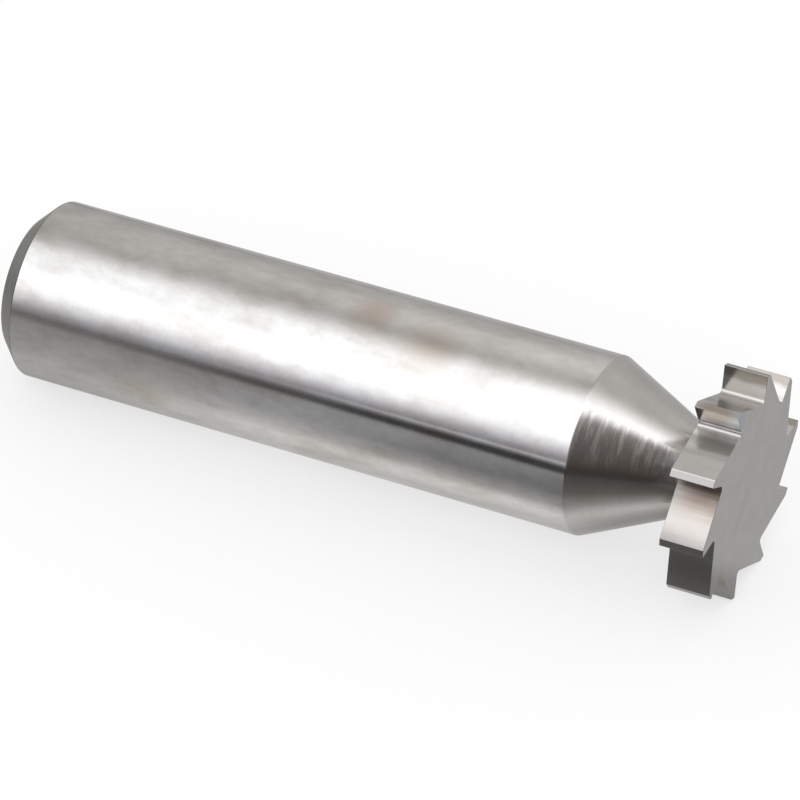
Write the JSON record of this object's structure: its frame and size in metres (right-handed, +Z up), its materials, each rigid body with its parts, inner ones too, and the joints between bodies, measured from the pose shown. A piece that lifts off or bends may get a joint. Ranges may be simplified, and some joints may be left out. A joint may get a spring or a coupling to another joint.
{
  "type": "woodruff keyseat cutter",
  "caption": "Shank-type milling cutter with a plain straight shank, a coned neck and a narrow straight-toothed disc, for cutting half-moon key seats in shafts.",
  "frame": {"origin": "middle of the bottom of the bounding box, on the surface that the cutter lies on", "axes": "+X runs along the tool from the shank's end to the toothed disc, +Z up. The tool lies at rest on the rim of its shank end and on two neighbouring teeth, so its own axis rises 1.65 degrees towards the disc"},
  "size_m": [0.0552, 0.0162, 0.0157],
  "materials": {
    "tool_steel": "bright ground high-speed steel, with fine grinding lines round the shank and across the teeth"
  },
  "bodies": {
    "root": {"keyseat_cutter": "tool_steel"}
  },
  "joints": []
}
